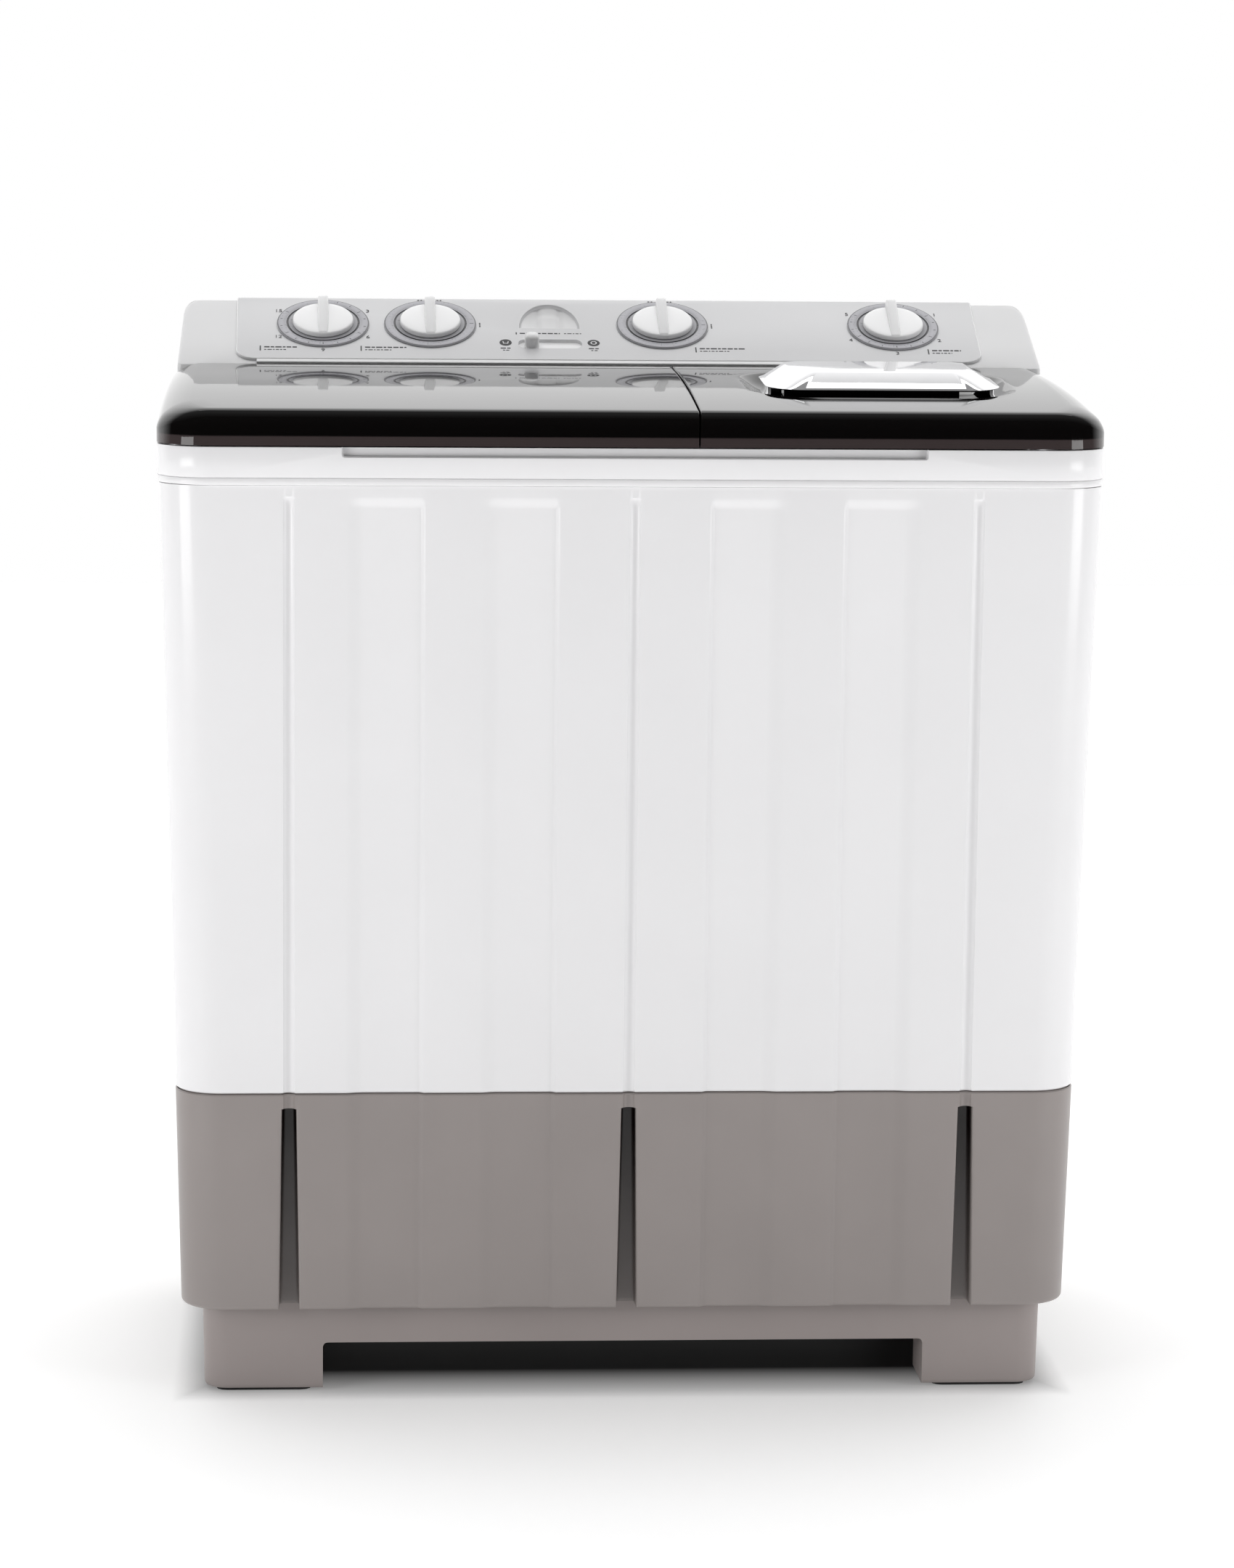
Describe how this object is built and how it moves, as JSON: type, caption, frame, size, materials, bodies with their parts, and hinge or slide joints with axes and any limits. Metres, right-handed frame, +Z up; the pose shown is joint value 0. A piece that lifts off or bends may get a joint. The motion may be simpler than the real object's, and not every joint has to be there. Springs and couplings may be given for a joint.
{
  "type": "twin tub washer",
  "caption": "Twin tub washer: wash tub and spin tub side by side under smoked hinged lids, with a sloping panel of dial knobs behind them and a two-tone plastic cabinet on feet.",
  "frame": {"origin": "centre of the washer's footprint, on the floor", "axes": "+Z up, -Y towards the front, +X towards the spin tub, which is on the right seen from the front"},
  "size_m": [0.86, 0.51, 0.9967],
  "materials": {
    "white_body": "moulded, gloss",
    "white_frame": "moulded, gloss",
    "grey_body": "moulded, fine grain",
    "plinth": "moulded, fine grain",
    "back_cover": "satin paint",
    "rubber": "matt",
    "hinge_steel": "turned",
    "smoked_lid": "polished, smoked",
    "chrome": "polished",
    "console_plastic": "satin",
    "panel_plate": "satin",
    "dial_ring": "satin",
    "knob": "satin gloss",
    "slider": "satin gloss",
    "timer_case": "moulded",
    "port_plastic": "moulded",
    "tub_plastic": "moulded",
    "pulsator_plastic": "moulded",
    "pipe_plastic": "extruded",
    "cast_aluminium": "as cast",
    "pulley_plastic": "moulded",
    "motor_paint": "satin paint",
    "basket_steel": "brushed"
  },
  "bodies": {
    "cabinet": {"upper_cabinet": "white_body", "lower_cabinet": "grey_body", "back_panel": "back_cover", "base_plinth": "plinth", "foot_pad_front_left": "rubber", "foot_pad_front_right": "rubber", "foot_pad_rear_left": "rubber", "foot_pad_rear_right": "rubber", "top_frame": "white_frame", "wash_lid_left_hinge_pin": "hinge_steel", "wash_lid_right_hinge_pin": "hinge_steel", "spin_lid_left_hinge_pin": "hinge_steel", "spin_lid_right_hinge_pin": "hinge_steel", "console_housing": "console_plastic", "control_panel": "panel_plate", "wash_timer_dial": "dial_ring", "wash_selector_dial": "dial_ring", "drain_selector_dial": "dial_ring", "spin_timer_dial": "dial_ring", "wash_timer_unit": "timer_case", "spin_timer_unit": "timer_case", "water_inlet_port": "port_plastic", "wash_tub": "tub_plastic", "overflow_pipe": "pipe_plastic", "shaft_bearing": "cast_aluminium", "drive_belt": "rubber", "wash_motor": "motor_paint", "spin_case": "tub_plastic", "shaft_seal": "rubber", "spin_motor": "motor_paint", "motor_mount_1": "rubber", "motor_mount_2": "rubber", "motor_mount_3": "rubber", "drain_valve_housing": "pipe_plastic", "drain_elbow": "pipe_plastic", "drain_pipe": "pipe_plastic", "drain_outlet": "pipe_plastic", "cord_gland": "rubber"},
    "wash_lid": {"wash_lid": "smoked_lid"},
    "spin_lid": {"spin_lid": "smoked_lid", "spin_lid_handle": "chrome"},
    "wash_timer_knob": {"wash_timer_knob": "knob"},
    "wash_selector_knob": {"wash_selector_knob": "knob"},
    "drain_selector_knob": {"drain_selector_knob": "knob"},
    "spin_timer_knob": {"spin_timer_knob": "knob"},
    "inlet_slider": {"inlet_selector_slider": "slider"},
    "pulsator": {"pulsator": "pulsator_plastic", "pulsator_shaft": "hinge_steel", "drive_pulley_large": "pulley_plastic"},
    "wash_motor_rotor": {"wash_motor_shaft": "hinge_steel", "motor_pulley_small": "pulley_plastic"},
    "spin_basket": {"spin_basket": "basket_steel", "balance_ring": "tub_plastic", "spin_shaft": "hinge_steel", "brake_drum": "cast_aluminium"},
    "safety_cover": {"spin_safety_cover": "pulsator_plastic"},
    "brake_lever": {"brake_lever": "cast_aluminium"},
    "drain_valve": {"drain_valve_plunger": "rubber"},
    "lint_filter": {"lint_filter": "pulsator_plastic"}
  },
  "joints": [
    {"name": "wash_lid_hinge", "type": "hinge", "parent": "cabinet", "child": "wash_lid", "pos_m": [-0.18685, 0.11, 0.926], "axis": [-1, 0, 0], "range_deg": [0, 95]},
    {"name": "spin_lid_hinge", "type": "hinge", "parent": "cabinet", "child": "spin_lid", "pos_m": [0.24385, 0.11, 0.926], "axis": [-1, 0, 0], "range_deg": [0, 95]},
    {"name": "wash_timer_turn", "type": "hinge", "parent": "cabinet", "child": "wash_timer_knob", "pos_m": [-0.28, 0.18615, 0.97013], "axis": [0, 0.454, -0.891], "range_deg": [0, 300]},
    {"name": "wash_selector_turn", "type": "hinge", "parent": "cabinet", "child": "wash_selector_knob", "pos_m": [-0.175, 0.18615, 0.97013], "axis": [0, 0.454, -0.891], "range_deg": [0, 90]},
    {"name": "drain_selector_turn", "type": "hinge", "parent": "cabinet", "child": "drain_selector_knob", "pos_m": [0.0535, 0.18615, 0.97013], "axis": [0, 0.454, -0.891], "range_deg": [0, 90]},
    {"name": "spin_timer_turn", "type": "hinge", "parent": "cabinet", "child": "spin_timer_knob", "pos_m": [0.282, 0.18615, 0.97013], "axis": [0, 0.454, -0.891], "range_deg": [0, 300]},
    {"name": "inlet_selector_slide", "type": "slide", "parent": "cabinet", "child": "inlet_slider", "axis": [1, 0, 0], "range_m": [0, 0.0359]},
    {"name": "pulsator_spin", "type": "hinge", "parent": "cabinet", "child": "pulsator", "pos_m": [-0.19, -0.06, 0.41], "axis": [0, 0, 1], "continuous": true},
    {"name": "wash_motor_spin", "type": "hinge", "parent": "cabinet", "child": "wash_motor_rotor", "pos_m": [-0.3, 0.06, 0.25], "axis": [0, 0, 1], "continuous": true},
    {"name": "spin_basket_spin", "type": "hinge", "parent": "cabinet", "child": "spin_basket", "pos_m": [0.235, -0.06, 0.41], "axis": [0, 0, 1], "continuous": true},
    {"name": "safety_cover_lift", "type": "slide", "parent": "spin_basket", "child": "safety_cover", "axis": [0, 0, 1], "range_m": [0, 0.05]},
    {"name": "brake_lever_turn", "type": "hinge", "parent": "cabinet", "child": "brake_lever", "pos_m": [0.268, 0.005, 0.283], "axis": [0, 0, -1], "range_deg": [0, 3.6]},
    {"name": "drain_valve_lift", "type": "slide", "parent": "cabinet", "child": "drain_valve", "axis": [0, 0, 1], "range_m": [0, 0.0121]},
    {"name": "lint_filter_pull", "type": "slide", "parent": "cabinet", "child": "lint_filter", "axis": [0, -1, 0], "range_m": [0, 0.04]}
  ],
  "couplings": [
    {"joint": "wash_motor_spin", "follows": "pulsator_spin", "ratio": 4.4848},
    {"joint": "brake_lever_turn", "follows": "spin_lid_hinge", "ratio": 0.036},
    {"joint": "drain_valve_lift", "follows": "drain_selector_turn", "m_per_rad": 0.00764}
  ]
}
